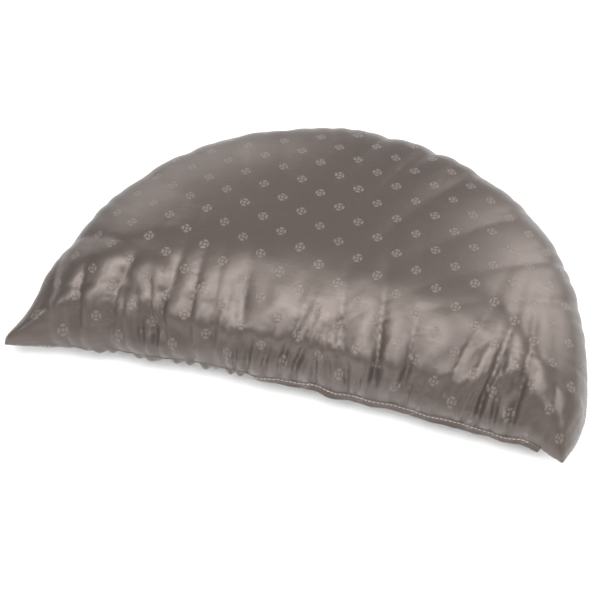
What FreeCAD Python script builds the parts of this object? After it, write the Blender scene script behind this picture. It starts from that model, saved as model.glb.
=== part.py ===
"""Half-moon face cradle cushion: a satin cover with a lapped zip, an inner case and its fibre filling.

Millimetres. +Z is up and z = 0 is the surface the cushion rests on. The straight edge faces -Y, its
two points lie along X, and the round edge faces +Y. The origin is the bottom centre of the whole box.
Every size comes from the cells of the sheet. An "outline" is the half-moon shape of the cushion at one
height: a long round arc at the rear and a shallow bowed one in front, which meet at the two points.
"""
import FreeCAD, Part
import os
import Sketcher

os.makedirs("parts", exist_ok=True)
doc = FreeCAD.newDocument("face_cradle_cushion")
sheet = doc.addObject("Spreadsheet::Sheet", "cells")

CELLS = [
    # the filled cushion
    ("tip_to_tip", 500), ("depth", 285), ("height", 115), ("seam_height", 37),
    ("front_pull", 20), ("edge_round", 92),
    # cloth, seams and threads
    ("cover_cloth", 0.6), ("case_cloth", 0.4), ("seam_gap", 0.6), ("seam_allowance", 8),
    ("band_start", 30), ("thread", 0.4), ("stitch_long", 3), ("stitch_pitch", 3.6),
    # the lap over the zip
    ("lap_length", 440), ("lap_above", 9), ("lap_below", 4), ("lap_clear", 0.9), ("stitch_drop", 1),
    # the zip
    ("zip_length", 380), ("zip_depth", 10), ("tape_wide", 11), ("tape_thick", 0.5),
    ("tape_tail", 10), ("coil_radius", 0.6), ("coil_apart", 2.6), ("stop_long", 2.5), ("stop_deep", 1.6),
    ("slider_long", 8), ("slider_wide", 7.6), ("slider_plate", 0.8), ("slider_inside", 1.9),
    ("flange_wide", 0.6), ("flange_deep", 0.4), ("wedge_long", 3), ("wedge_thick", 1),
    ("bridge_long", 6), ("bridge_wide", 1.8), ("bridge_bar", 0.7), ("bridge_room", 1.4), ("slider_rest", 1),
    ("tab_long", 18), ("tab_wide", 5), ("tab_thick", 0.8), ("tab_bar", 1.2), ("tab_gap", 0.3),
    # the inner cushion
    ("case_inset", 12), ("case_flange", 3), ("case_low", 1.2), ("case_high", 1.6), ("case_front", 21),
    ("filling_gap", 0.3),
]
for row, (alias, number) in enumerate(CELLS, start=1):
    sheet.set(f"A{row}", alias)
    sheet.set(f"B{row}", str(number))
    sheet.setAlias(f"B{row}", alias)
doc.recompute()

LEVELS = 6          # steps from the seam to the flat crown of a dome
START, END, CENTRE = 1, 2, 3        # the points of an arc in a sketch
V_AXIS, ORIGIN = -2, (-1, 1)

FRONT = "(-cells.depth / 2)"
ARC_RADIUS = "(((cells.tip_to_tip / 2) ^ 2 + cells.depth ^ 2) / (2 * cells.depth))"
ARC_CENTRE = f"({FRONT} + cells.depth - {ARC_RADIUS})"
SEAM_LINE = f"({FRONT} + cells.front_pull)"
ZIP_PLANE = f"({SEAM_LINE} + cells.zip_depth)"
BOW_RADIUS = "(((cells.tip_to_tip / 2) ^ 2 + cells.front_pull ^ 2) / (2 * cells.front_pull))"
CHAIN_END = "(cells.zip_length / 2)"
SLIDER_X = f"({CHAIN_END} - cells.stop_long - cells.slider_rest - cells.slider_long / 2)"


# ---- helpers --------------------------------------------------------------------------------------

def value(expression):
    """What an expression on the sheet comes to, as a plain number."""
    return float(sheet.evalExpression(expression))


def bind(thing, **expressions):
    """Bind properties to expressions; a double underscore in a name stands for a dot."""
    for name, expression in expressions.items():
        thing.setExpression(name.replace("__", "."), str(expression))


def place(thing, x="0", y="0", z="0"):
    """Bind the position of an object's Placement."""
    bind(thing, Placement__Base__x=x, Placement__Base__y=y, Placement__Base__z=z)


def new_body(label):
    body = doc.addObject("PartDesign::Body", label)
    body.Label = label
    return body


def new_sketch(body, label, height="0"):
    """An empty sketch on the body's own XY plane, lifted by an expression."""
    sketch = body.newObject("Sketcher::SketchObject", label)
    plane = next(item for item in body.Origin.OriginFeatures if item.Role == "XY_Plane")
    sketch.AttachmentSupport = [(plane, "")]
    sketch.MapMode = "FlatFace"
    sketch.setExpression("AttachmentOffset.Base.z", height)
    return sketch


def measure(sketch, label, expression, *constraint):
    """Add a dimension to a sketch, named and bound to an expression."""
    index = sketch.addConstraint(Sketcher.Constraint(*constraint, value(expression)))
    sketch.renameConstraint(index, label)
    sketch.setExpression(f"Constraints.{label}", expression)


def pad(body, label, sketch, length):
    """Pad a sketch upwards by an expression."""
    feature = body.newObject("PartDesign::Pad", label)
    feature.Profile = sketch
    feature.setExpression("Length", length)
    return feature


def loft(body, label, sketches, kind="PartDesign::AdditiveLoft"):
    feature = body.newObject(kind, label)
    feature.Profile = sketches[0]
    feature.Sections = sketches[1:]
    feature.Ruled = True
    return feature


# ---- outlines and domes ---------------------------------------------------------------------------

def draw_outline(sketch, inset, front_inset="0", tag="edge"):
    """Draw one closed outline, moved in from the cushion's edge by the expression inset.

    The rear arc keeps its centre and loses the inset from its radius. The two points move back by the
    inset and the front inset, and the front arc through them keeps the pull of the straight seam.
    """
    radius = f"({ARC_RADIUS} - ({inset}))"
    points_y = f"({FRONT} + ({inset}) + ({front_inset}))"
    half = f"sqrt({radius} ^ 2 - ({points_y} - {ARC_CENTRE}) ^ 2)"
    bow = f"(({half} ^ 2 + cells.front_pull ^ 2) / (2 * cells.front_pull))"
    left = FreeCAD.Vector(-value(half), value(points_y), 0)
    right = FreeCAD.Vector(value(half), value(points_y), 0)
    crown = FreeCAD.Vector(0, value(f"{ARC_CENTRE} + {radius}"), 0)
    middle = FreeCAD.Vector(0, value(f"{points_y} + cells.front_pull"), 0)
    rear = sketch.addGeometry(Part.Arc(right, crown, left))
    front = sketch.addGeometry(Part.Arc(right, middle, left))
    for end in (START, END):
        sketch.addConstraint(Sketcher.Constraint("Coincident", rear, end, front, end))
    for arc in (rear, front):
        sketch.addConstraint(Sketcher.Constraint("PointOnObject", arc, CENTRE, V_AXIS))
    measure(sketch, f"{tag}_centre_y", ARC_CENTRE, "DistanceY", *ORIGIN, rear, CENTRE)
    measure(sketch, f"{tag}_rear_radius", radius, "Radius", rear)
    measure(sketch, f"{tag}_bow_radius", bow, "Radius", front)
    measure(sketch, f"{tag}_point_y", f"-1 * {points_y}", "DistanceY", rear, START, *ORIGIN)


def dome(body, label, base, rise, inset="0", front_inset="0", kind="PartDesign::AdditiveLoft"):
    """Loft outlines from the plane z = base to a flat crown that lies rise above it, or below it."""
    sketches = []
    for step in range(LEVELS + 1):
        turn = f"{90 * step / LEVELS} deg"
        sketch = new_sketch(body, f"{label}_{step}", f"{base} + ({rise}) * sin({turn})")
        draw_outline(sketch, f"{inset} + cells.edge_round * (1 - cos({turn}))", front_inset)
        sketches.append(sketch)
    return loft(body, label, sketches, kind)


def half_shell(label, base, rise, cloth, inset="0", front_inset="0", closer="0"):
    """A dome of cloth, open where it meets its other half at the seam.

    The hollow is the same dome, smaller by the cloth's thickness at the edge and at the crown.
    """
    body = new_body(label)
    dome(body, f"{label}_outside", base, rise, inset, front_inset)
    inner_rise = f"({rise}) - ({closer})"
    inner = f"{inset} + {cloth}"
    dome(body, f"{label}_hollow", base, inner_rise, inner, front_inset, "PartDesign::SubtractiveLoft")
    return body


# ---- the cover ------------------------------------------------------------------------------------

def draw_rear_band(sketch, inset, wide):
    """A band of the rear edge only: two arcs about the rear centre, closed by two short lines."""
    radii = [f"({ARC_RADIUS} - ({inset}))", f"({ARC_RADIUS} - ({inset}) - ({wide}))"]
    end_y = "(-cells.depth / 2 + cells.band_start)"
    centre_y = value(ARC_CENTRE)
    arcs = []
    for radius in radii:
        big = value(radius)
        side = (big ** 2 - (value(end_y) - centre_y) ** 2) ** 0.5
        points = [(side, value(end_y)), (0, centre_y + big), (-side, value(end_y))]
        arcs.append(sketch.addGeometry(Part.Arc(*[FreeCAD.Vector(x, y, 0) for x, y in points])))
    outer, inner = arcs
    for end, name in ((START, "StartPoint"), (END, "EndPoint")):
        far = getattr(sketch.Geometry[outer], name)
        near = getattr(sketch.Geometry[inner], name)
        line = sketch.addGeometry(Part.LineSegment(far, near))
        sketch.addConstraint(Sketcher.Constraint("Coincident", line, START, outer, end))
        sketch.addConstraint(Sketcher.Constraint("Coincident", line, END, inner, end))
        sketch.addConstraint(Sketcher.Constraint("Horizontal", line))
    sketch.addConstraint(Sketcher.Constraint("Coincident", outer, CENTRE, inner, CENTRE))
    sketch.addConstraint(Sketcher.Constraint("PointOnObject", outer, CENTRE, V_AXIS))
    measure(sketch, "centre_y", ARC_CENTRE, "DistanceY", *ORIGIN, outer, CENTRE)
    measure(sketch, "outer_radius", radii[0], "Radius", outer)
    measure(sketch, "inner_radius", radii[1], "Radius", inner)
    for label, end in (("first_end", START), ("last_end", END)):
        measure(sketch, label, f"-1 * {end_y}", "DistanceY", outer, end, *ORIGIN)


def cover_panel(label, direction, rise):
    """One panel of the cover with its seam allowance turned in along the rear seam."""
    base = f"cells.seam_height + {direction} * cells.seam_gap / 2"
    body = half_shell(label, base, rise, "cells.cover_cloth", closer=f"{direction} * cells.cover_cloth")
    start = base if direction > 0 else f"{base} - cells.cover_cloth"
    band = new_sketch(body, f"{label}_allowance_line", start)
    draw_rear_band(band, "0.2", "cells.seam_allowance")
    pad(body, f"{label}_allowance", band, "cells.cover_cloth")
    return body


TOP_RISE = "(cells.height - cells.seam_height - cells.seam_gap / 2)"
BOTTOM_RISE = "(-(cells.seam_height - cells.seam_gap / 2))"
cover_panel("cover_top_panel", 1, TOP_RISE)
cover_panel("cover_bottom_panel", -1, BOTTOM_RISE)


def seam_thread():
    """The lockstitch that joins the two seam allowances, as one thin thread along the rear seam."""
    body = new_body("rear_seam_thread")
    line = new_sketch(body, "rear_seam_line", "cells.seam_height - cells.thread / 2")
    draw_rear_band(line, "cells.seam_allowance / 2", "cells.thread")
    pad(body, "rear_seam_stitch", line, "cells.thread")


seam_thread()


# ---- the lap and its topstitch --------------------------------------------------------------------

BOW_CENTRE = f"({SEAM_LINE} - {BOW_RADIUS})"


def draw_bowed_strip(sketch, reach, thick, long):
    """A strip along the bowed front edge; the sketch's origin is the centre of the bow."""
    radii = [f"({BOW_RADIUS} - ({reach}))", f"({BOW_RADIUS} - ({reach}) - ({thick}))"]
    side = value(long) / 2
    arcs = []
    for radius in radii:
        big = value(radius)
        far = (big ** 2 - side ** 2) ** 0.5
        points = [(side, far), (0, big), (-side, far)]
        arcs.append(sketch.addGeometry(Part.Arc(*[FreeCAD.Vector(x, y, 0) for x, y in points])))
    outer, inner = arcs
    for end, name in ((START, "StartPoint"), (END, "EndPoint")):
        far = getattr(sketch.Geometry[outer], name)
        near = getattr(sketch.Geometry[inner], name)
        line = sketch.addGeometry(Part.LineSegment(far, near))
        sketch.addConstraint(Sketcher.Constraint("Coincident", line, START, outer, end))
        sketch.addConstraint(Sketcher.Constraint("Coincident", line, END, inner, end))
        sketch.addConstraint(Sketcher.Constraint("Vertical", line))
    for arc in (outer, inner):
        sketch.addConstraint(Sketcher.Constraint("Coincident", arc, CENTRE, *ORIGIN))
    measure(sketch, "outer_radius", radii[0], "Radius", outer)
    measure(sketch, "inner_radius", radii[1], "Radius", inner)
    measure(sketch, "right_end", f"({long}) / 2", "DistanceX", *ORIGIN, outer, START)
    measure(sketch, "left_end", f"({long}) / 2", "DistanceX", outer, END, *ORIGIN)


def lap():
    """The folded strip of cover cloth that hangs from the topstitch and hides the zip."""
    body = new_body("zip_lap")
    strip = new_sketch(body, "zip_lap_line")
    draw_bowed_strip(strip, "cells.lap_clear - cells.cover_cloth", "cells.cover_cloth", "cells.lap_length")
    pad(body, "zip_lap_strip", strip, "cells.lap_above + cells.lap_below")
    place(body, y=BOW_CENTRE, z="cells.seam_height - cells.lap_below")


def draw_rectangle(sketch, left, right, low, high):
    """A rectangle whose four sides are bound to expressions, each measured from the origin."""
    x_low, x_high, y_low, y_high = (value(side) for side in (left, right, low, high))
    ring = [(x_low, y_low), (x_high, y_low), (x_high, y_high), (x_low, y_high)]
    corners = [FreeCAD.Vector(x, y, 0) for x, y in ring]
    lines = [sketch.addGeometry(Part.LineSegment(a, b)) for a, b in zip(corners, corners[1:] + corners[:1])]
    for line, following in zip(lines, lines[1:] + lines[:1]):
        sketch.addConstraint(Sketcher.Constraint("Coincident", line, END, following, START))
    for index, line in enumerate(lines):
        sketch.addConstraint(Sketcher.Constraint("Vertical" if index % 2 else "Horizontal", line))
    measure(sketch, "left", left, "DistanceX", *ORIGIN, lines[0], START)
    measure(sketch, "right", right, "DistanceX", *ORIGIN, lines[0], END)
    measure(sketch, "low", low, "DistanceY", *ORIGIN, lines[0], START)
    measure(sketch, "high", high, "DistanceY", *ORIGIN, lines[2], START)


def topstitch():
    """The row of stitches along the top of the lap: one stitch, repeated round the bow."""
    pitch = value("cells.stitch_pitch")
    count = int((value("cells.lap_length") - 2 * pitch) / pitch)
    radius = f"({BOW_RADIUS} - cells.lap_clear)"
    half_row = f"({(count - 1) / 2} * cells.stitch_pitch / {radius} * 1 rad)"
    body = new_body("lap_topstitch")
    face = new_sketch(body, "stitch_line")
    half = "cells.stitch_long / 2"
    draw_rectangle(face, f"-1 * {half}", half, f"{radius} - cells.thread", radius)
    stitch = pad(body, "stitch", face, "cells.thread")
    doc.recompute()
    row = body.newObject("PartDesign::PolarPattern", "stitch_row")
    row.Originals = [stitch]
    row.Axis = (next(item for item in body.Origin.OriginFeatures if item.Role == "Z_Axis"), [""])
    row.Mode = "Extent"
    row.Occurrences = count
    row.setExpression("Angle", f"2 * {half_row}")
    body.Tip = row
    body.Placement.Rotation.Axis = FreeCAD.Vector(0, 0, 1)
    place(body, y=BOW_CENTRE, z="cells.seam_height + cells.lap_above - cells.lap_below - cells.stitch_drop")
    bind(body, Placement__Rotation__Angle=f"-1 * {half_row}")


lap()
topstitch()


# ---- the zip --------------------------------------------------------------------------------------

CHAIN_HALF = "(cells.coil_apart / 2 + cells.coil_radius)"


def box(label, x, y, z, centre_x="0", centre_y="0", centre_z="0"):
    """A box of three sizes about a centre, every number an expression."""
    block = doc.addObject("Part::Box", label)
    block.Label = label
    bind(block, Length=x, Width=y, Height=z)
    place(block, f"{centre_x} - ({x}) / 2", f"{centre_y} - ({y}) / 2", f"{centre_z} - ({z}) / 2")
    return block


def fuse(label, pieces):
    union = doc.addObject("Part::MultiFuse", label)
    union.Label = label
    union.Shapes = pieces
    return union


def cut(label, solid, tool):
    rest = doc.addObject("Part::Cut", label)
    rest.Label = label
    rest.Base = solid
    rest.Tool = tool
    return rest


def zip_side(name, direction):
    """One tape of the zip with its half of the coil."""
    tape_z = f"cells.seam_height + {direction} * ({CHAIN_HALF} + cells.tape_wide / 2)"
    long = "cells.zip_length + 2 * cells.tape_tail"
    box(f"zip_tape_{name}", long, "cells.tape_thick", "cells.tape_wide", "0", ZIP_PLANE, tape_z)
    coil = doc.addObject("Part::Cylinder", f"zip_coil_{name}")
    coil.Label = f"zip_coil_{name}"
    bind(coil, Radius="cells.coil_radius", Height="cells.zip_length - 2 * cells.stop_long")
    coil.Placement.Rotation = FreeCAD.Rotation(FreeCAD.Vector(0, 1, 0), 90)
    coil_z = f"cells.seam_height + {direction} * cells.coil_apart / 2"
    place(coil, f"-1 * {CHAIN_END} + cells.stop_long", ZIP_PLANE, coil_z)


def zip_stop(name, direction):
    """A metal stop that closes one end of the coil."""
    middle = f"{direction} * ({CHAIN_END} - cells.stop_long / 2)"
    box(f"zip_stop_{name}", "cells.stop_long", "cells.stop_deep", f"2 * {CHAIN_HALF}",
        middle, ZIP_PLANE, "cells.seam_height")


def slider():
    """Two plates joined by a wedge, with flanges that guide the tapes and a bridge for the pull tab."""
    pieces = []
    plate_away = "(cells.slider_inside / 2 + cells.slider_plate / 2)"
    flange_away = "(cells.slider_inside / 2 - cells.flange_deep / 2)"
    flange_z = "(cells.slider_wide / 2 - cells.flange_wide / 2)"
    for side, sign in (("front", -1), ("rear", 1)):
        pieces.append(box(f"slider_{side}_plate", "cells.slider_long", "cells.slider_plate",
                          "cells.slider_wide", SLIDER_X, f"{ZIP_PLANE} + {sign} * {plate_away}",
                          "cells.seam_height"))
        for edge, up in (("low", -1), ("high", 1)):
            pieces.append(box(f"slider_{side}_{edge}_flange", "cells.slider_long", "cells.flange_deep",
                              "cells.flange_wide", SLIDER_X, f"{ZIP_PLANE} + {sign} * {flange_away}",
                              f"cells.seam_height + {up} * {flange_z}"))
    wedge_x = f"{SLIDER_X} + cells.slider_long / 2 - cells.wedge_long / 2"
    pieces.append(box("slider_wedge", "cells.wedge_long", "cells.slider_inside", "cells.wedge_thick",
                      wedge_x, ZIP_PLANE, "cells.seam_height"))
    rise = "(cells.bridge_room + cells.bridge_bar)"
    block = box("bridge_block", "cells.bridge_long", rise, "cells.bridge_wide", SLIDER_X,
                f"{PLATE_FACE} - {rise} / 2", "cells.seam_height")
    tunnel = box("bridge_tunnel", "cells.bridge_long - 2 * cells.bridge_bar", "cells.bridge_room",
                 "2 * cells.bridge_wide", SLIDER_X, f"{PLATE_FACE} - cells.bridge_room / 2",
                 "cells.seam_height")
    pieces.append(cut("slider_bridge", block, tunnel))
    fuse("zip_slider", pieces)


def pull_tab():
    """A flat tab whose bar passes under the slider's bridge; its window clears the bridge's post."""
    tab_y = f"{PLATE_FACE} - cells.bridge_room / 2"
    plate_x = f"{HINGE_X} - cells.tab_bar / 2 + cells.tab_long / 2"
    plate = box("tab_plate", "cells.tab_long", "cells.tab_thick", "cells.tab_wide", plate_x, tab_y,
                "cells.seam_height")
    window_long = "(cells.bridge_long / 2 + cells.tab_gap)"
    window = box("tab_window", window_long, "2 * cells.tab_thick", "cells.bridge_wide + 2 * cells.tab_gap",
                 f"{HINGE_X} + cells.tab_bar / 2 + {window_long} / 2", tab_y, "cells.seam_height")
    cut("zip_pull_tab", plate, window)


PLATE_FACE = f"({ZIP_PLANE} - cells.slider_inside / 2 - cells.slider_plate)"
HINGE_X = SLIDER_X
for side_name, side_direction in (("upper", 1), ("lower", -1)):
    zip_side(side_name, side_direction)
for side_name, side_direction in (("left", -1), ("right", 1)):
    zip_stop(side_name, side_direction)
slider()
pull_tab()


# ---- the inner cushion ----------------------------------------------------------------------------

CASE_TOP_RISE = f"({TOP_RISE} - cells.case_high)"
CASE_BOTTOM_RISE = f"({BOTTOM_RISE} + cells.case_low)"


def case_panel(label, direction, rise):
    """One half of the inner case, with the flange that is sewn to the other half."""
    base = f"cells.seam_height + {direction} * cells.seam_gap / 2"
    body = half_shell(label, base, rise, "cells.case_cloth", "cells.case_inset", "cells.case_front",
                      f"{direction} * cells.case_cloth")
    start = base if direction > 0 else f"{base} - cells.case_cloth"
    ring = new_sketch(body, f"{label}_flange_line", start)
    draw_outline(ring, "cells.case_inset - cells.case_flange", "cells.case_front", "outer")
    draw_outline(ring, "cells.case_inset + cells.case_cloth", "cells.case_front", "inner")
    pad(body, f"{label}_flange", ring, "cells.case_cloth")


def case_thread():
    """The stitching round the flange of the inner case, as one thin thread."""
    body = new_body("inner_case_seam_thread")
    ring = new_sketch(body, "inner_case_seam_line", "cells.seam_height - cells.thread / 2")
    middle = "cells.case_inset - cells.case_flange / 2"
    draw_outline(ring, middle, "cells.case_front", "outer")
    draw_outline(ring, f"{middle} + cells.thread", "cells.case_front", "inner")
    pad(body, "inner_case_seam_stitch", ring, "cells.thread")


def filling():
    """The fibre filling: one dome above the seam and one below it, just inside the case."""
    body = new_body("fibre_filling")
    inset = "cells.case_inset + cells.case_cloth + cells.filling_gap"
    room = "(cells.seam_gap / 2 - cells.case_cloth - cells.filling_gap)"
    dome(body, "filling_top", "cells.seam_height", f"{CASE_TOP_RISE} + {room}", inset, "cells.case_front")
    dome(body, "filling_bottom", "cells.seam_height", f"{CASE_BOTTOM_RISE} - {room}", inset,
         "cells.case_front")


case_panel("inner_case_top", 1, CASE_TOP_RISE)
case_panel("inner_case_bottom", -1, CASE_BOTTOM_RISE)
case_thread()
filling()


# ---- check and write ------------------------------------------------------------------------------

NODES = ["cover_top_panel", "cover_bottom_panel", "rear_seam_thread", "zip_lap", "lap_topstitch",
         "zip_tape_upper", "zip_tape_lower", "zip_coil_upper", "zip_coil_lower",
         "zip_stop_left", "zip_stop_right", "zip_slider", "zip_pull_tab",
         "inner_case_top", "inner_case_bottom", "inner_case_seam_thread", "fibre_filling"]

doc.recompute()
broken = [item.Name for item in doc.Objects if {"Invalid", "Error"} & set(item.State)]
if broken:
    raise SystemExit(f"objects that did not build: {broken}")
nodes = [doc.getObjectsByLabel(label)[0] for label in NODES]
for node in nodes:
    if node.Shape.isNull() or not node.Shape.isValid():
        raise SystemExit(f"{node.Label} has no valid shape")
for node in nodes:
    node.Shape.exportStep(f"parts/{node.Label}.step")
    print(f"{node.Label}: {len(node.Shape.Solids)} solid(s), {node.Shape.Volume:.1f} mm3")
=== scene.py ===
import math
import bpy
import numpy as np
from mathutils import Matrix, Vector
from mathutils.geometry import delaunay_2d_cdt


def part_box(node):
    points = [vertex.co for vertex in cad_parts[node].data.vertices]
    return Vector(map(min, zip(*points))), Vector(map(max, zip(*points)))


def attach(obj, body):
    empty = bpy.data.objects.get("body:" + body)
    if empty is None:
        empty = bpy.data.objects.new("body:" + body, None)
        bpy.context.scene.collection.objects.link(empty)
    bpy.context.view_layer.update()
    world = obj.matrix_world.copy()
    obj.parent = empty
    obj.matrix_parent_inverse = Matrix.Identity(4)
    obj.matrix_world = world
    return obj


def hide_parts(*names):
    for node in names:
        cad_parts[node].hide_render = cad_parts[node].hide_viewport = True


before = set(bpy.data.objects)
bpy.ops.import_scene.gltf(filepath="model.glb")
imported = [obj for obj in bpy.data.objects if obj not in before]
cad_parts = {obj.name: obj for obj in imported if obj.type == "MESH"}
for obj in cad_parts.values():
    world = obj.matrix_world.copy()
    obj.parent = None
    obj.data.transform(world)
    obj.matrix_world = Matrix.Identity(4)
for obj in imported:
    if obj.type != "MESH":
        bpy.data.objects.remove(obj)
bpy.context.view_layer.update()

# ---- sizes in metres, from the frame ---------------------------------------------------------------
PANEL_LOW, PANEL_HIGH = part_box("cover_top_panel")
FRONT = PANEL_LOW[1]
TALL = PANEL_HIGH[2]
DEEP = PANEL_HIGH[1] - PANEL_LOW[1]
LONG = PANEL_HIGH[0] - PANEL_LOW[0]

# the flat pattern of one panel: cloth cut larger than the filled cushion, because filling draws it in
CUT_LONG = LONG * 1.105
CUT_DEEP = DEEP * 1.105
LAP_WIDE = 0.008
LAP_ROWS = 3
LAP_END = 0.03       # the lap and its stitches stop this far from each point
FINE = 0.0032        # length of a mesh edge at the straight seam
COARSE = 0.0046      # and over the rest of the cover
FINE_BAND = 0.06     # how far the fine mesh reaches from the straight seam
CLOTH_SEED = 4
GATHER_FRONT = 0.06  # share by which the thread shortens the cloth at the straight seam
GATHER_ARC = 0.035   # and at the arc
CLOTH_BEND = 0.3
CLOTH_PRESS = 1.0
CLOTH_FRAMES = 30
SEAM_GATHER = 0.012  # how far the gathers reach from a seam
START_SHARE = 0.93   # the start's share of the pattern's size
START_CROWN = 0.10
START_LIFT = 0.034

# how the filled cushion lies: shares and lengths of a small lean
LEAN = 0.049         # the round side leans to +X as the cushion is put down
BOW_BACK = 0.009     # the straight seam relaxes forwards in its middle
POINT_OUT = 0.004    # the corner points stand out sideways
POINT_FORWARD = 0.0085   # and forwards
SLIM = 0.006         # the flanks are drawn in halfway back
SHORT = 0.010        # how much the filled cover is shorter than its box, front to back
TIP_X = 0.245        # where the points lie to the sides once the cushion is filled
TIP_ROUND = 0.03     # how far each point's own shape reaches
BOW_FADE = 0.09      # the bow of the seam fades over this depth
LEAN_FROM = 0.094    # the depth that the lean turns about
SLIM_AT = 0.114      # where the flanks are slimmest
SLIM_FADE = 0.08

# evening out the simulated cloth: rounds, and the pull and push of each round
CALM_ROUNDS = 30
CALM_PULL = 0.55
CALM_PUSH = -0.57
SEAM_CALM = 0.25         # the share of it that the cloth right at a seam gets
SEAM_BAND = 0.02

# the puckers along the seams: pitch, reach and height in metres, and lean
FRONT_PUCKERS = ((0.015, 0.008, 0.0040, 0.35), (0.036, 0.022, 0.0050, 0.3))
ARC_PUCKERS = ((0.024, 0.008, 0.0009, 0.3), (0.070, 0.024, 0.0016, 0.4))
PUCKER_FADE = 0.12       # the front puckers die away over this distance
TIP_QUIET = 0.015        # no puckers this near a point
TIP_FADE = 0.05          # and all of them this much further off
TOP_SEED = 11
UNDER_SEED = 47
# how the straight seam wavers: pitch, amount and seed
WAVER_ACROSS = (0.019, 0.0028, 91)
WAVER_UP = (0.027, 0.0018, 92)
WAVER_REACH = 0.015

# the ears: how far they reach, the share of thickness they lose, the ridge that runs into each point
EAR_LONG = 0.038
EAR_THIN = 0.55
EAR_RIDGE = 0.005
RIDGE_SLOPE = 0.62       # the ridge's direction on the flat cloth
RIDGE_WIDE = 0.010
RIDGE_PEAK = 0.03        # it is highest this far from the point
EAR_OUT = {-1: 0.012, 1: -0.012}     # how far the left and the right ear are drawn out

PATTERN_SHIFT = 0.5      # keeps the places on the flat cloth positive
LAP_THICK = 0.0014
LAP_OPEN = 0.15          # how far the lap turns in on the right, in radians
LAP_TUCK = 1.25          # and how much further on the left
TUCK_FROM = 0.02         # the tuck starts here and is full TUCK_OVER further left
TUCK_OVER = 0.09
CASE_INSET = 0.006
FIBRE_INSET = 0.009
CASE_BEHIND = 0.0385     # the case stays this far behind the points, clear of the zip
FIBRE_BEHIND = 0.0420
FRONT_BOW = 0.015        # and comes forwards by this much near the points
FRONT_SQUASH = 0.08      # what lies further forwards is pressed back to this share
INNER_VOXEL = 0.006
# length, pitch and thickness of the stitches
TOPSTITCH = (0.0030, 0.0037, 0.0007)
SEAM_STITCH = (0.0022, 0.0030, 0.0004)
CASE_STITCH = (0.0024, 0.0032, 0.0004)
SEAM_END = 0.010         # the rear stitches stop this far from each point
CASE_END = 0.012
CASE_SHARE = (0.93, 0.88, 1.0)       # the case seam's size beside the rear seam
ROW_DOWN = 0.4           # how far down the lap's first strip the topstitch runs
ROW_LIFT = 0.0009        # and how far above the cloth


# ---- the cover, sewn and filled by cloth simulation ------------------------------------------------

class Pattern:
    """The flat half-moon pattern: a straight seam on y = 0 and an arc through both of its ends."""

    def __init__(self):
        half = CUT_LONG / 2
        self.radius = (half ** 2 + CUT_DEEP ** 2) / (2 * CUT_DEEP)
        self.centre = CUT_DEEP - self.radius
        self.flat, self.faces, self.rim = self.lay_out()

    def arc_gap(self, x, y):
        """Distance from a point of the pattern to its arc."""
        return np.clip(self.radius - np.hypot(x, y - self.centre), 0, None)

    def arc_turn(self, x, y):
        """Angle round the arc's centre, from the right point to the left one."""
        return (np.arctan2(y - self.centre, x) + math.pi / 2) % math.tau

    def outline(self):
        """Points round the seam: along the straight edge, then back over the arc."""
        count = round(CUT_LONG / FINE)
        straight = [(-CUT_LONG / 2 + CUT_LONG * i / count, 0.0) for i in range(count)]
        start = math.asin(-self.centre / self.radius)
        sweep = math.pi - 2 * start
        steps = round(self.radius * sweep / COARSE)
        turns = [start + sweep * i / steps for i in range(steps)]
        arc = [(self.radius * math.cos(t), self.centre + self.radius * math.sin(t)) for t in turns]
        arc[0] = (CUT_LONG / 2, 0.0)
        return straight + arc

    def lay_out(self):
        """A triangle mesh of the panel, fine along the straight seam and coarse behind it."""
        rim = self.outline()
        random = np.random.default_rng(CLOTH_SEED)
        inside = []
        y = FINE * 0.87
        row = 0
        while y < CUT_DEEP:
            blend = min(1.0, max(0.0, (y - FINE_BAND) / 0.05))
            step = FINE + (COARSE - FINE) * blend
            shift = step / 2 if row % 2 else 0.0
            for x in np.arange(-CUT_LONG / 2 - step, CUT_LONG / 2 + step, step) + shift:
                dx, dy = random.uniform(-0.15, 0.15, 2) * step
                if self.arc_gap(x + dx, y + dy) > 0.6 * step and y + dy > 0.55 * FINE:
                    inside.append((x + dx, y + dy))
            y += step * 0.87
            row += 1
        points = [Vector(p) for p in rim + inside]
        edges = [(i, (i + 1) % len(rim)) for i in range(len(rim))]
        flat, _, faces, origin, _, _ = delaunay_2d_cdt(points, edges, [], 1, 1e-7)
        on_rim = np.array([any(i < len(rim) for i in source) for source in origin])
        return np.array([list(p) for p in flat]), np.array([list(f) for f in faces]), on_rim


def tip_distance(points):
    """How far each point of the flat cloth lies from the nearer corner."""
    return np.hypot(CUT_LONG / 2 - np.abs(points[:, 0]), points[:, 1])


def sewn_cover(pattern):
    """Both panels and the lap as one mesh: flat points, faces and the parts' vertex numbers.

    The panels share the vertices of their seam. The lap is a strip that hangs on the straight seam.
    """
    flat, faces, rim = pattern.flat, pattern.faces, pattern.rim
    count = len(flat)
    under = np.arange(count)
    under[~rim] = count + np.arange((~rim).sum())
    points = np.vstack([flat, flat[~rim]])
    straight = np.where(rim & (flat[:, 1] < 1e-6))[0]
    straight = straight[np.argsort(flat[straight, 0])]
    strip = [straight]
    strip_faces = []
    for k in range(1, LAP_ROWS + 1):
        drop = LAP_WIDE * k / LAP_ROWS
        squeeze = (CUT_LONG / 2 - drop * 0.9) / (CUT_LONG / 2)
        row = np.column_stack([flat[straight, 0] * squeeze, np.full(len(straight), -drop)])
        numbers = len(points) + np.arange(len(straight))
        points = np.vstack([points, row])
        above = strip[-1]
        for i in range(len(straight) - 1):
            strip_faces.append((above[i], numbers[i], numbers[i + 1]))
            strip_faces.append((above[i], numbers[i + 1], above[i + 1]))
        strip.append(numbers)
    shell = np.vstack([faces, under[faces[:, ::-1]]])
    return points, shell, np.array(strip_faces), count, straight, np.array(strip)


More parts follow.
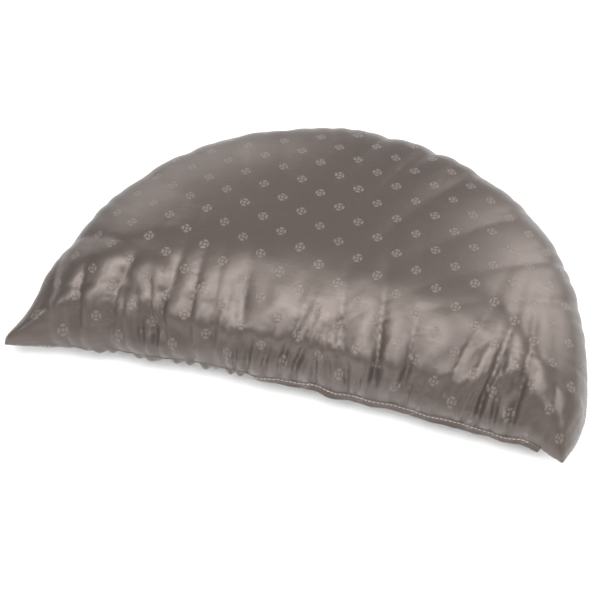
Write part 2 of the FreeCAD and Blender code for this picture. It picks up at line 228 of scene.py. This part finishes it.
def filled_cover(pattern):
    """Sew the panels, fill the cushion and let it settle on the table: a cloth simulation.

    The thread gathers the cloth along the seams, the filling presses outwards, and the rest shape of
    the cloth is its flat pattern, so the puckers and the pulled-in edge come from the cloth itself.
    """
    points, shell, strip, top_count, straight, strip_rows = sewn_cover(pattern)
    rim_numbers = np.where(pattern.rim)[0]
    in_lap = np.arange(len(points)) >= strip_rows[1][0]
    flat = np.column_stack([points, np.zeros(len(points))])
    mesh = bpy.data.meshes.new("cover_cloth")
    mesh.from_pydata(flat.tolist(), [], np.vstack([shell, strip]).tolist())
    mesh.update()
    cloth = bpy.data.objects.new("cover_cloth", mesh)
    bpy.context.scene.collection.objects.link(cloth)

    # a crowned start, a little narrower than the pattern
    gap_arc = pattern.arc_gap(points[:, 0], points[:, 1])
    gap_front = np.clip(points[:, 1], 0, None)
    edge = np.clip(np.minimum(gap_arc / pattern.radius, gap_front / CUT_DEEP * 1.2) / 0.42, 0, 1)
    crown = START_CROWN * np.sqrt(1 - (1 - edge) ** 2)
    side = np.where(np.arange(len(points)) < top_count, 0.7, -0.3)
    side[rim_numbers] = 0.0
    side[in_lap] = 0.0
    start = flat.copy()
    start[:, 2] = crown * side
    start[:, 0] *= START_SHARE
    start[:, 1] = (start[:, 1] - CUT_DEEP * 0.45) * START_SHARE + CUT_DEEP * 0.45
    mesh.vertices.foreach_set("co", start.ravel())
    cloth.shape_key_add(name="Basis")
    rest = cloth.shape_key_add(name="flat_pattern")
    rest.data.foreach_set("co", flat.ravel())
    cloth.active_shape_key_index = 0
    cloth.location.z = START_LIFT

    # where the thread gathers the cloth, and where the filling presses
    tip_gap = tip_distance(points)
    gather = np.maximum(GATHER_FRONT * np.exp(-(gap_front / SEAM_GATHER) ** 2),
                        GATHER_ARC * np.exp(-(gap_arc / SEAM_GATHER) ** 2))
    gather[in_lap] = GATHER_FRONT * 0.93
    gather *= np.clip(tip_gap / 0.03, 0, 1)
    press = np.clip((tip_gap - 0.012) / 0.05, 0.0, 1) ** 0.7
    press[in_lap] = 0.0
    for name, weights in (("gather", gather / GATHER_FRONT), ("filling", press)):
        group = cloth.vertex_groups.new(name=name)
        for number in np.where(weights > 0.005)[0]:
            group.add([int(number)], float(weights[number]), "REPLACE")

    modifier = cloth.modifiers.new("Cloth", "CLOTH")
    settings = modifier.settings
    settings.quality = 8
    settings.mass = 0.0004
    settings.tension_stiffness = settings.compression_stiffness = 15
    settings.shear_stiffness = 5
    settings.bending_stiffness = CLOTH_BEND
    settings.use_pressure = True
    settings.uniform_pressure_force = CLOTH_PRESS
    settings.pressure_factor = 4
    settings.use_pressure_volume = True
    settings.target_volume = 0.007
    settings.vertex_group_pressure = "filling"
    settings.fluid_density = 0
    settings.rest_shape_key = rest
    settings.vertex_group_shrink = "gather"
    settings.shrink_max = GATHER_FRONT
    modifier.collision_settings.distance_min = 0.002
    modifier.collision_settings.use_self_collision = False
    bpy.ops.mesh.primitive_plane_add(size=3)
    table = bpy.context.object
    table.modifiers.new("Collision", "COLLISION")
    table.collision.thickness_outer = 0.002
    table.collision.cloth_friction = 5
    scene = bpy.context.scene
    scene.frame_start = 1
    scene.frame_end = CLOTH_FRAMES
    modifier.point_cache.frame_end = CLOTH_FRAMES
    for number in range(1, CLOTH_FRAMES + 1):
        scene.frame_set(number)
    settled = cloth.evaluated_get(bpy.context.evaluated_depsgraph_get()).to_mesh()
    shape = np.zeros(len(points) * 3)
    settled.vertices.foreach_get("co", shape)
    shape = shape.reshape(-1, 3)
    scene.frame_set(1)
    for spare in (cloth, table):
        bpy.data.objects.remove(spare)
    return shape, points, shell, strip, top_count, straight, strip_rows


def calmed(shape, faces, strength):
    """Even out the finest crumples and keep the broad folds; strength is 0 to 1 for each vertex."""
    edges = np.sort(np.vstack([faces[:, [0, 1]], faces[:, [1, 2]], faces[:, [2, 0]]]), axis=1)
    edges = np.unique(edges, axis=0)
    count = np.bincount(edges.ravel(), minlength=len(shape))[:, None].clip(1)
    for step in range(2 * CALM_ROUNDS):
        total = np.zeros_like(shape)
        np.add.at(total, edges[:, 0], shape[edges[:, 1]])
        np.add.at(total, edges[:, 1], shape[edges[:, 0]])
        factor = CALM_PUSH if step % 2 else CALM_PULL
        moved = np.where(total.any(axis=1)[:, None], total / count - shape, 0)
        shape = shape + strength[:, None] * factor * moved
    return shape


def vertex_normals(shape, faces):
    """The cloth's normal at each vertex, from the triangles round it."""
    a, b, c = (shape[faces[:, k]] for k in range(3))
    normal = np.cross(b - a, c - a)
    total = np.zeros_like(shape)
    for k in range(3):
        np.add.at(total, faces[:, k], normal)
    return total / np.linalg.norm(total, axis=1).clip(1e-12)[:, None]


def wander(along, pitch, amount, seed):
    """A slow random drift of positions along a seam, so that puckers aren't evenly spaced."""
    random = np.random.default_rng(seed)
    knots = random.uniform(-1, 1, 64)
    place = np.clip(along / pitch + 32, 0, 62.99)
    low = place.astype(int)
    part = place - low
    part = part * part * (3 - 2 * part)
    return amount * (knots[low] * (1 - part) + knots[low + 1] * part)


def pucker(along, away, pitch, reach, lean, seed):
    """Round ridges with narrow valleys that run off a seam and fade out; between about -1 and 1."""
    slant = wander(along, 2.2 * pitch, lean, seed)
    phase = along + slant * away + wander(along, 1.7 * pitch, 0.45 * pitch, seed + 1)
    ridge = np.abs(np.sin(math.pi * phase / pitch)) ** 0.75 * 2 - 1.25
    far = reach * (1 + wander(along, pitch * 1.3, 0.45, seed + 2))
    strong = 0.7 + wander(along, pitch * 1.9, 0.45, seed + 3)
    return ridge * strong * (away / far) ** 0.6 * np.exp(0.6 * (1 - away / far))


def puckered(shape, points, faces, pattern, top_count):
    """Add the puckers that the seams draw into both panels."""
    used = int(faces.max()) + 1
    x, y = points[:used].T
    on_top = np.arange(used) < top_count
    rim = np.zeros(used, dtype=bool)
    rim[np.where(pattern.rim)[0]] = True
    front_away = np.clip(y, 0, None)
    arc_away = pattern.arc_gap(x, y)
    turn = (pattern.arc_turn(x, y) - math.pi) * pattern.radius
    quiet = np.clip((tip_distance(points[:used]) - TIP_QUIET) / TIP_FADE, 0, 1)
    lift = np.zeros(used)
    for side, seed in ((on_top, TOP_SEED), (~on_top, UNDER_SEED)):
        for pitch, reach, height, lean in FRONT_PUCKERS:
            field = pucker(x, front_away, pitch, reach, lean, seed)
            lift += side * height * field * np.exp(-(front_away / PUCKER_FADE) ** 2)
            seed += 5
        for pitch, reach, height, lean in ARC_PUCKERS:
            lift += side * height * pucker(turn, arc_away, pitch, reach, lean, seed)
            seed += 5
    lift *= quiet * np.where(rim, 0, 1)
    shape = shape.copy()
    shape[:used] += vertex_normals(shape[:used], faces) * lift[:, None]
    return shape


def wavering(shape, points):
    """Let the straight seam waver between the puckers, and the lap with it."""
    near_seam = np.exp(-(np.clip(points[:, 1], 0, None) / WAVER_REACH) ** 2)
    near_seam *= np.clip((tip_distance(points) - 0.01) / 0.04, 0, 1)
    shape = shape.copy()
    shape[:, 1] += near_seam * wander(points[:, 0], *WAVER_ACROSS)
    shape[:, 2] += near_seam * wander(points[:, 0], *WAVER_UP)
    return shape


def eared(shape, points, top_count):
    """Flatten the corners into thin ears, with a ridge on top that runs into each point."""
    shape = shape.copy()
    x, y = points.T
    tip_away = tip_distance(points)
    over = np.arange(len(points)) < top_count
    away = np.abs(y - (CUT_LONG / 2 - np.abs(x)) * RIDGE_SLOPE)
    ridge = np.exp(-(away / RIDGE_WIDE) ** 2) * (tip_away / RIDGE_PEAK)
    ridge = ridge * np.exp(1 - tip_away / RIDGE_PEAK) * over
    for sign in (-1, 1):
        side = x * sign > 0
        tip = shape[np.argmin(np.where(side & over, tip_away, 1))]
        near = side * np.exp(-(tip_away / EAR_LONG) ** 2)
        shape[:, 2] = tip[2] + (shape[:, 2] - tip[2]) * (1 - EAR_THIN * near)
        shape[:, 0] += sign * EAR_OUT[sign] * near ** 2
        shape[:, 2] += EAR_RIDGE * ridge * side
    return shape


def laid_down(shape, straight):
    """Put the filled cover in the frame: full height, points on the front line, leaning a little."""
    x, y, z = shape.T.copy()
    z -= z.min()
    z *= TALL / z.max()
    front = y[[straight[0], straight[-1]]].mean()
    across = np.clip(x / TIP_X, -1, 1)
    near = np.exp(-((TIP_X - np.abs(x)) ** 2 + (y - front) ** 2) / TIP_ROUND ** 2)
    back = y - front
    y = y - BOW_BACK * (1 - across ** 2) * np.exp(-(back / BOW_FADE) ** 2) - POINT_FORWARD * near
    x = x + LEAN * (back - LEAN_FROM) + np.sign(x) * POINT_OUT * near
    x -= SLIM * across * np.exp(-((back - SLIM_AT) / SLIM_FADE) ** 2)
    y += FRONT - y[straight].min()
    depth_scale = (DEEP - SHORT) / (y.max() - FRONT)
    y = FRONT + (y - FRONT) * depth_scale
    x -= (x.max() + x.min()) / 2
    return np.column_stack([x, y, z])


# ---- modelling helpers -----------------------------------------------------------------------------

def select_only(*objects):
    """Select these objects and nothing else; the first is the active one."""
    bpy.ops.object.select_all(action="DESELECT")
    for item in objects:
        item.select_set(True)
    bpy.context.view_layer.objects.active = objects[0]


def apply_modifier(piece, kind, **settings):
    """Add a modifier with its settings and apply it."""
    modifier = piece.modifiers.new(kind.title(), kind)
    for name, value in settings.items():
        setattr(modifier, name, value)
    select_only(piece)
    bpy.ops.object.modifier_apply(modifier=modifier.name)


def new_piece(name, points, faces):
    """A mesh piece at the origin, from its points and faces."""
    mesh = bpy.data.meshes.new(name)
    mesh.from_pydata([tuple(p) for p in points], [], [tuple(int(i) for i in f) for f in faces])
    mesh.update()
    piece = bpy.data.objects.new(name, mesh)
    bpy.context.scene.collection.objects.link(piece)
    return piece


def lay_pattern(piece, flat):
    """A UV map of where each point lay on the flat cloth, in metres, so that the weave follows it."""
    layer = piece.data.uv_layers.new(name="cloth")
    corners = np.zeros(len(piece.data.loops), dtype=int)
    piece.data.loops.foreach_get("vertex_index", corners)
    layer.data.foreach_set("uv", (flat[corners] + PATTERN_SHIFT).ravel())


def smooth(piece):
    """Shade the piece smooth."""
    select_only(piece)
    bpy.ops.object.shade_smooth()


def crease_edges(piece, wanted, strength):
    """Crease each edge whose two vertices are both wanted."""
    attribute = piece.data.attributes.new("crease_edge", "FLOAT", "EDGE")
    for edge in piece.data.edges:
        if wanted[edge.vertices[0]] and wanted[edge.vertices[1]]:
            attribute.data[edge.index].value = strength


# ---- materials -------------------------------------------------------------------------------------

class Value:
    """Wraps a shader socket, so that shader maths reads as an expression."""

    def __init__(self, tree, socket):
        self.tree = tree
        self.socket = socket

    def maths(self, operation, *others):
        """A Math node on this value and the others."""
        node = self.tree.nodes.new("ShaderNodeMath")
        node.operation = operation
        for slot, item in zip(node.inputs, (self, *others)):
            if isinstance(item, Value):
                self.tree.links.new(item.socket, slot)
            else:
                slot.default_value = item
        return Value(self.tree, node.outputs[0])

    def __add__(self, other):
        return self.maths("ADD", other)

    __radd__ = __add__

    def __sub__(self, other):
        return self.maths("SUBTRACT", other)

    def __rsub__(self, other):
        return (self * -1) + other

    def __mul__(self, other):
        return self.maths("MULTIPLY", other)

    __rmul__ = __mul__

    def between(self, low, high):
        """0 below low, 1 above high, smooth between them."""
        return self.ramp(low, high, 0, 1)

    def ramp(self, low, high, out_low, out_high):
        """out_low below low, out_high above high, smooth between them."""
        node = self.tree.nodes.new("ShaderNodeMapRange")
        node.interpolation_type = "SMOOTHSTEP"
        self.tree.links.new(self.socket, node.inputs["Value"])
        settings = {"From Min": low, "From Max": high, "To Min": out_low, "To Max": out_high}
        for name, number in settings.items():
            node.inputs[name].default_value = number
        return Value(self.tree, node.outputs["Result"])


class Finish:
    """A material being built: nodes are added with their settings and their inputs."""

    def __init__(self, name):
        self.material = bpy.data.materials.new(name)
        self.material.use_nodes = True
        self.tree = self.material.node_tree
        self.tree.nodes.clear()

    def node(self, kind, settings=None, output=0, **inputs):
        """Add a node; underscores in an input's name stand for spaces."""
        node = self.tree.nodes.new(kind)
        for name, setting in (settings or {}).items():
            setattr(node, name, setting)
        for name, item in inputs.items():
            socket = node.inputs[name.replace("_", " ")]
            if isinstance(item, Value):
                self.tree.links.new(item.socket, socket)
            else:
                socket.default_value = item
        return Value(self.tree, node.outputs[output])

    def place(self):
        """The point on the piece, in metres."""
        return self.node("ShaderNodeTexCoord", output="Object")

    def cloth_place(self):
        """The point on the flat cloth as (vector, across, along) in metres."""
        vector = self.node("ShaderNodeUVMap", {"uv_map": "cloth"})
        split = self.tree.nodes.new("ShaderNodeSeparateXYZ")
        self.tree.links.new(vector.socket, split.inputs[0])
        return vector, Value(self.tree, split.outputs[0]), Value(self.tree, split.outputs[1])

    def noise(self, place, scale, detail=2.0, roughness=0.5):
        """Soft random clouds, between 0 and 1."""
        return self.node("ShaderNodeTexNoise", Vector=place, Scale=scale, Detail=detail,
                         Roughness=roughness)

    def wave(self, place, direction, scale, distortion=0.0):
        """Parallel bands, between 0 and 1."""
        return self.node("ShaderNodeTexWave", {"bands_direction": direction}, "Fac", Vector=place,
                         Scale=scale, Distortion=distortion)

    def colours(self, factor, first, second):
        """Mix two colours by a factor."""
        node = self.tree.nodes.new("ShaderNodeMix")
        node.data_type = "RGBA"
        self.tree.links.new(factor.socket, node.inputs[0])
        node.inputs[6].default_value = (*first, 1)
        node.inputs[7].default_value = (*second, 1)
        return Value(self.tree, node.outputs[2])

    def bump(self, height, distance, strength=1.0):
        """A normal that follows a height; distance is its full height in metres."""
        return self.node("ShaderNodeBump", Height=height, Distance=distance, Strength=strength)

    def principled(self, **inputs):
        """The surface itself."""
        return self.node("ShaderNodeBsdfPrincipled", **inputs)

    def finish(self, surface):
        """Send the surface to the output and give back the material."""
        output = self.tree.nodes.new("ShaderNodeOutputMaterial")
        self.tree.links.new(surface.socket, output.inputs["Surface"])
        return self.material


TAUPE = (0.110, 0.088, 0.077)
TAUPE_DEEP = (0.094, 0.075, 0.066)
MOTIF_LIGHT = (0.200, 0.168, 0.150)
MOTIF_STEPS = ((0.0218, -0.0132), (0.0112, 0.0268))     # from one motif to its two neighbours
MOTIF_RADIUS = 0.0034
MOTIF_LINE = 0.0011
MOTIF_DOT = (0.0010, 0.0017)         # the dot is full within the first radius and gone at the second
MOTIF_SHOWN = 0.75       # how far the figure covers the satin ground
THREAD_PITCH = 0.00045


def motif_mask(across, along):
    """Small woven rosettes, a ring with four gaps round a dot, on a slanting repeat."""
    (ax, ay), (bx, by) = MOTIF_STEPS
    area = ax * by - bx * ay
    first = across * (by / area) - along * (bx / area)
    second = along * (ax / area) - across * (ay / area)
    first = first - (first + 0.5).maths("FLOOR")
    second = second - (second + 0.5).maths("FLOOR")
    x = first * ax + second * bx
    y = first * ay + second * by
    reach = (x * x + y * y).maths("SQRT")
    ring = 1 - (reach - MOTIF_RADIUS).maths("ABSOLUTE").between(MOTIF_LINE * 0.6, MOTIF_LINE * 1.3)
    turns = y.maths("ARCTAN2", x) * 4
    petals = turns.maths("COSINE").between(-0.9, -0.4)
    dot = 1 - reach.between(*MOTIF_DOT)
    return (ring * petals).maths("MAXIMUM", dot)


def satin_jacquard(name):
    """Warm grey satin with small matt rosettes: the ground shines and the motif stays dull."""
    finish = Finish(name)
    vector, across, along = finish.cloth_place()
    cloud = finish.noise(vector, 9.0, 3.0)
    slub = finish.noise(finish.node("ShaderNodeMapping", Vector=vector, Scale=(35.0, 900.0, 1.0)), 1.0)
    warp = (across * (math.tau / THREAD_PITCH)).maths("SINE")
    weft = (along * (math.tau / THREAD_PITCH)).maths("SINE")
    weave = warp * 0.6 + weft * 0.4
    motif = motif_mask(across, along)
    depth = cloud.between(0.3, 0.7) * 0.6 + slub.between(0.35, 0.7) * 0.4
    shade = finish.colours(depth, TAUPE, TAUPE_DEEP)
    creases = finish.noise(vector, 160.0, 4.0, 0.6)
    height = weave * 0.10 + slub * 0.35 + motif * 0.9 + creases * 0.8
    relief = finish.bump(height, 0.00016, 0.8)
    shine = cloud.ramp(0.25, 0.75, 0.37, 0.43) + slub.ramp(0.3, 0.7, 0.0, 0.05)
    ground = finish.principled(Base_Color=shade, Metallic=0.5, Roughness=shine, Normal=relief,
                               Specular_IOR_Level=0.7, Sheen_Weight=0.1, Sheen_Roughness=0.4)
    dull = finish.colours(cloud, MOTIF_LIGHT, TAUPE)
    figure = finish.principled(Base_Color=dull, Roughness=0.55, Normal=relief, Metallic=0.05,
                               Specular_IOR_Level=0.4, Sheen_Weight=0.2)
    mix = finish.tree.nodes.new("ShaderNodeMixShader")
    for slot, item in enumerate((motif * MOTIF_SHOWN, ground, figure)):
        finish.tree.links.new(item.socket, mix.inputs[slot])
    return finish.finish(Value(finish.tree, mix.outputs[0]))


def twisted_thread(name, colour):
    """Sewing thread: fine slanting plies."""
    finish = Finish(name)
    place = finish.place()
    ply = finish.wave(place, "DIAGONAL", 900.0, 0.5)
    shade = finish.colours(ply, tuple(c * 0.75 for c in colour), colour)
    return finish.finish(finish.principled(Base_Color=shade, Roughness=0.5, Sheen_Weight=0.3,
                                           Normal=finish.bump(ply, 0.00005)))


def woven_cloth(name, light, dark, pitch, roughness):
    """Plain weave on object coordinates: two crossing rows of threads."""
    finish = Finish(name)
    place = finish.place()
    bands = 1 / pitch / 6.28
    rows = finish.wave(place, "X", bands)
    columns = finish.wave(place, "Y", bands)
    cross = rows * 0.5 + columns * 0.5
    cloud = finish.noise(place, 30.0, 3.0)
    shade = finish.colours(cross * 0.6 + cloud * 0.4, dark, light)
    rough = cloud.ramp(0.3, 0.7, roughness, roughness + 0.1)
    return finish.finish(finish.principled(Base_Color=shade, Roughness=rough, Sheen_Weight=0.2,
                                           Normal=finish.bump(cross, 0.0001)))


def moulded_nylon(name):
    """Semi-matt nylon with a faint moulding grain."""
    finish = Finish(name)
    place = finish.place()
    grain = finish.noise(place, 700.0, 2.0)
    shade = finish.colours(grain, (0.075, 0.063, 0.056), (0.11, 0.094, 0.084))
    return finish.finish(finish.principled(Base_Color=shade, Roughness=grain.ramp(0.3, 0.7, 0.35, 0.5),
                                           Normal=finish.bump(grain, 0.00004)))


def lacquered_metal(name):
    """Taupe lacquer, worn through to the metal in small spots."""
    finish = Finish(name)
    place = finish.place()
    grain = finish.noise(place, 400.0, 3.0)
    worn = finish.noise(place, 90.0, 4.0).between(0.62, 0.72)
    shade = finish.colours(worn, (0.10, 0.085, 0.076), (0.42, 0.38, 0.34))
    return finish.finish(finish.principled(Base_Color=shade, Metallic=worn * 0.7 + 0.3,
                                           Roughness=grain.ramp(0.3, 0.7, 0.28, 0.42), Coat_Weight=0.3,
                                           Normal=finish.bump(grain, 0.00003)))


def fluffy_fibre(name):
    """White hollow fibre: soft tufts of fine strands."""
    finish = Finish(name)
    place = finish.place()
    tufts = finish.noise(place, 120.0, 6.0, 0.7)
    strands = finish.noise(place, 900.0, 3.0, 0.6)
    shade = finish.colours(tufts, (0.70, 0.69, 0.67), (0.88, 0.88, 0.87))
    return finish.finish(finish.principled(Base_Color=shade, Roughness=0.85, Sheen_Weight=0.6,
                                           Normal=finish.bump(tufts * 0.7 + strands * 0.3, 0.002)))


SATIN = satin_jacquard("warm_grey_satin_jacquard")
TOPSTITCH_THREAD = twisted_thread("topstitch_thread", (0.42, 0.37, 0.33))
SEAM_THREAD = twisted_thread("seam_thread", (0.20, 0.17, 0.15))
CASE_THREAD = twisted_thread("case_thread", (0.80, 0.78, 0.74))
TAPE = woven_cloth("zip_tape_weave", (0.13, 0.11, 0.098), (0.085, 0.071, 0.063), 0.0006, 0.7)
COTTON = woven_cloth("case_cotton", (0.80, 0.78, 0.73), (0.62, 0.60, 0.56), 0.0007, 0.8)
NYLON = moulded_nylon("coil_nylon")
METAL = lacquered_metal("zip_lacquered_metal")
FIBRE = fluffy_fibre("polyester_fibre")


def coat(piece, material):
    """Give the piece this one material."""
    piece.data.materials.clear()
    piece.data.materials.append(material)


# ---- the cover, its lap and its stitches -----------------------------------------------------------

def make_cover(shape, flat, shell):
    """The satin cover as one closed surface, creased a little where the panels meet."""
    used = int(shell.max()) + 1
    cover = new_piece("satin_cover", shape[:used], shell)
    lay_pattern(cover, flat)
    seam = np.zeros(used, dtype=bool)
    seam[np.where(PATTERN.rim)[0]] = True
    crease_edges(cover, seam, 0.7)
    apply_modifier(cover, "SUBSURF", levels=1, render_levels=1, boundary_smooth="ALL")
    smooth(cover)
    coat(cover, SATIN)
    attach(cover, "cushion")
    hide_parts("cover_top_panel", "cover_bottom_panel")
    return cover


def tucked_lap(shape, strip_rows):
    """Turn the lap about the seam: it shows on the right and is tucked under on the left."""
    shape = shape.copy()
    top = shape[strip_rows[0]]
    left = np.clip((TUCK_FROM - top[:, 0]) / TUCK_OVER, 0, 1)
    turn = LAP_OPEN + LAP_TUCK * left * left * (3 - 2 * left)
    cos, sin = np.cos(turn), np.sin(turn)
    for row in strip_rows[1:]:
        dy, dz = (shape[row] - top)[:, 1:].T
        shape[row, 1] = top[:, 1] + dy * cos - dz * sin
        shape[row, 2] = top[:, 2] + dy * sin + dz * cos
    return shape


def make_lap(shape, flat, strip):
    """The folded lap that hangs on the straight seam and hides the zip."""
    strip = strip[np.abs(flat[strip, 0]).max(axis=1) < CUT_LONG / 2 - LAP_END]
    numbers = np.unique(strip)
    renumber = {int(n): i for i, n in enumerate(numbers)}
    faces = [[renumber[int(i)] for i in face] for face in strip]
    lap = new_piece("zip_lap_strip", shape[numbers], faces)
    lay_pattern(lap, flat[numbers])
    apply_modifier(lap, "SUBSURF", levels=1, render_levels=1)
    apply_modifier(lap, "SOLIDIFY", thickness=LAP_THICK, offset=0.0)
    smooth(lap)
    coat(lap, SATIN)
    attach(lap, "cushion")
    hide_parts("zip_lap")
    return lap


def stitch_shape(long, thick):
    """One stitch: a short thread that dips into the cloth at both ends."""
    bpy.ops.object.select_all(action="DESELECT")
    bpy.ops.mesh.primitive_uv_sphere_add(segments=8, ring_count=6, radius=0.5)
    stitch = bpy.context.object
    points = np.array([list(v.co) for v in stitch.data.vertices])
    faces = [tuple(p.vertices) for p in stitch.data.polygons]
    bpy.data.objects.remove(stitch)
    along = np.sign(points[:, 2]) * np.abs(points[:, 2] * 2) ** 0.8 * long / 2
    lift = -((along / (long / 2)) ** 2) * thick * 0.4
    return np.column_stack([along, points[:, 0] * thick, points[:, 1] * thick + lift]), faces


def stitch_row(name, line, up, sizes, ends, thread):
    """A row of stitches along a line of points, which stops short of the line's ends.

    up is the cloth's normal at each point, and sizes are a stitch's length, pitch and thickness.
    """
    long, pitch, thick = sizes
    shape, faces = stitch_shape(long, thick)
    steps = np.linalg.norm(np.diff(line, axis=0), axis=1)
    travel = np.concatenate([[0], np.cumsum(steps)])
    count = int((travel[-1] - 2 * ends) / pitch)
    points = []
    all_faces = []
    for number in range(count):
        where = ends + (number + 0.5) * pitch
        before, after = (np.array([np.interp(where + d, travel, line[:, k]) for k in range(3)])
                         for d in (-long / 2, long / 2))
        middle = (before + after) / 2
        forward = after - before
        forward /= np.linalg.norm(forward)
        top = np.array([np.interp(where, travel, up[:, k]) for k in range(3)])
        top -= forward * (top @ forward)
        top /= np.linalg.norm(top)
        side = np.cross(top, forward)
        turned = shape @ np.array([forward, side, top]) + middle
        all_faces += [tuple(len(points) + i for i in face) for face in faces]
        points += [tuple(p) for p in turned]
    row = new_piece(name, points, all_faces)
    smooth(row)
    coat(row, thread)
    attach(row, "cushion")
    return row


# ---- the inner cushion -----------------------------------------------------------------------------

def inner_copy(name, source, inset, behind_points):
    """A smoothed copy of the cover, smaller all round and clear of the zip in front."""
    mesh = source.data.copy()
    mesh.name = name
    piece = bpy.data.objects.new(name, mesh)
    bpy.context.scene.collection.objects.link(piece)
    apply_modifier(piece, "REMESH", mode="VOXEL", voxel_size=INNER_VOXEL)
    apply_modifier(piece, "SMOOTH", factor=0.5, iterations=12)
    apply_modifier(piece, "DISPLACE", strength=-inset, mid_level=0.0)
    apply_modifier(piece, "SMOOTH", factor=0.5, iterations=6)
    for vertex in piece.data.vertices:
        behind = FRONT + behind_points - FRONT_BOW * (vertex.co.x / 0.25) ** 2
        if vertex.co.y < behind:
            vertex.co.y = behind + (vertex.co.y - behind) * FRONT_SQUASH
    smooth(piece)
    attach(piece, "cushion")
    return piece


PATTERN = Pattern()
shape, flat, shell, strip, top_count, straight, strip_rows = filled_cover(PATTERN)
seam_away = np.minimum(np.clip(flat[:, 1], 0, None), PATTERN.arc_gap(flat[:, 0], flat[:, 1]))
on_cover = np.arange(len(flat)) < strip_rows[1][0]
calm = SEAM_CALM + (1 - SEAM_CALM) * np.clip(seam_away / SEAM_BAND, 0, 1)
shape = calmed(shape, shell, on_cover * calm)
shape = wavering(puckered(shape, flat, shell, PATTERN, top_count), flat)
shape = laid_down(eared(shape, flat, top_count), straight)
shape = tucked_lap(shape, strip_rows)
cover = make_cover(shape, flat, shell)
make_lap(shape, flat, strip)

# the topstitch runs along the top of the lap
first, second, last = (shape[strip_rows[k]] for k in (0, 1, LAP_ROWS))
lap_up = np.cross(last - first, np.gradient(first, axis=0))
lap_up /= np.linalg.norm(lap_up, axis=1)[:, None]
line = first * (1 - ROW_DOWN) + second * ROW_DOWN + lap_up * ROW_LIFT
topstitch = stitch_row("topstitch_row", line, lap_up, TOPSTITCH, LAP_END, TOPSTITCH_THREAD)
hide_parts("lap_topstitch")

# the rear seam shows as fine stitches between the panels, and the case has its own seam inside
arc = np.where(PATTERN.rim & (PATTERN.flat[:, 1] > 1e-6))[0]
rear = shape[arc[np.argsort(PATTERN.arc_turn(*PATTERN.flat[arc].T))]]
upright = np.tile([0.0, 0.0, 1.0], (len(rear), 1))
rear_stitches = stitch_row("rear_seam_stitches", rear, upright, SEAM_STITCH, SEAM_END, SEAM_THREAD)
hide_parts("rear_seam_thread")
middle = rear.mean(axis=0)
case_line = (rear - middle) * CASE_SHARE + middle
case_stitches = stitch_row("inner_case_stitches", case_line, upright, CASE_STITCH, CASE_END, CASE_THREAD)
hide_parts("inner_case_seam_thread")

case = inner_copy("inner_case", cover, CASE_INSET, CASE_BEHIND)
coat(case, COTTON)
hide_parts("inner_case_top", "inner_case_bottom")
fibre = inner_copy("fibre_fill", cover, FIBRE_INSET, FIBRE_BEHIND)
coat(fibre, FIBRE)
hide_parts("fibre_filling")

for name, material in (("zip_tape_upper", TAPE), ("zip_tape_lower", TAPE), ("zip_coil_upper", NYLON),
                       ("zip_coil_lower", NYLON), ("zip_stop_left", METAL), ("zip_stop_right", METAL),
                       ("zip_slider", METAL), ("zip_pull_tab", METAL)):
    coat(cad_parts[name], material)


# ---- floor, lights and camera ----------------------------------------------------------------------

def soft_light(name, azimuth, elevation, away, size, power, aim=(0.0, 0.0, 0.05)):
    """A rectangular soft light; azimuth 0 is in front of the straight edge and 90 on the +X side."""
    a, e = math.radians(azimuth), math.radians(elevation)
    bpy.ops.object.light_add(type="AREA")
    light = bpy.context.object
    light.name = name
    light.data.shape = "RECTANGLE"
    light.data.size, light.data.size_y = size
    light.data.energy = power
    light.location = Vector(aim) + away * Vector((math.sin(a) * math.cos(e), -math.cos(a) * math.cos(e),
                                                  math.sin(e)))
    light.rotation_euler = (Vector(aim) - light.location).to_track_quat("-Z", "Y").to_euler()
    return light


def floor_finish():
    """Pale matt paper with faint clouds."""
    finish = Finish("pale_paper")
    cloud = finish.noise(finish.place(), 1.5, 2.0)
    shade = finish.colours(cloud, (0.86, 0.86, 0.86), (0.90, 0.90, 0.90))
    return finish.finish(finish.principled(Base_Color=shade, Roughness=0.8))


bpy.ops.mesh.primitive_plane_add(size=12)
floor = bpy.context.object
floor.name = "floor"
coat(floor, floor_finish())

soft_light("overhead", 5, 70, 1.4, (1.0, 0.5), 19)
soft_light("back_left_rim", 218, 20, 1.5, (1.0, 0.3), 6)
soft_light("back_right", 132, 32, 1.4, (0.9, 0.7), 13)
soft_light("front_left", -40, 38, 1.5, (0.35, 0.3), 7)
soft_light("front_right", 48, 40, 1.5, (0.5, 0.4), 8)

world = bpy.data.worlds.new("studio")
world.use_nodes = True
world.node_tree.nodes["Background"].inputs["Color"].default_value = (1.0, 1.0, 1.0, 1)
world.node_tree.nodes["Background"].inputs["Strength"].default_value = 0.24
bpy.context.scene.world = world
bpy.context.scene.view_settings.view_transform = "Standard"

CAMERA_AZIMUTH = math.radians(14.4)
CAMERA_ELEVATION = math.radians(57.2)
CAMERA_ROLL = math.radians(-0.8)
CAMERA_AWAY = 1.222
CAMERA_TARGET = Vector((0.0, -0.026, 0.05))
CAMERA_LENS = 83.2
CAMERA_SHIFT = (-0.0245, -0.0330)
bpy.ops.object.camera_add()
camera = bpy.context.object
camera.name = "camera"
back = Vector((math.sin(CAMERA_AZIMUTH) * math.cos(CAMERA_ELEVATION),
               -math.cos(CAMERA_AZIMUTH) * math.cos(CAMERA_ELEVATION), math.sin(CAMERA_ELEVATION)))
turned = back.to_track_quat("Z", "Y").to_matrix() @ Matrix.Rotation(CAMERA_ROLL, 3, "Z")
camera.matrix_world = Matrix.LocRotScale(CAMERA_TARGET + back * CAMERA_AWAY, turned, None)
camera.data.lens = CAMERA_LENS
camera.data.sensor_width = 36
camera.data.shift_x, camera.data.shift_y = CAMERA_SHIFT
bpy.context.scene.camera = camera
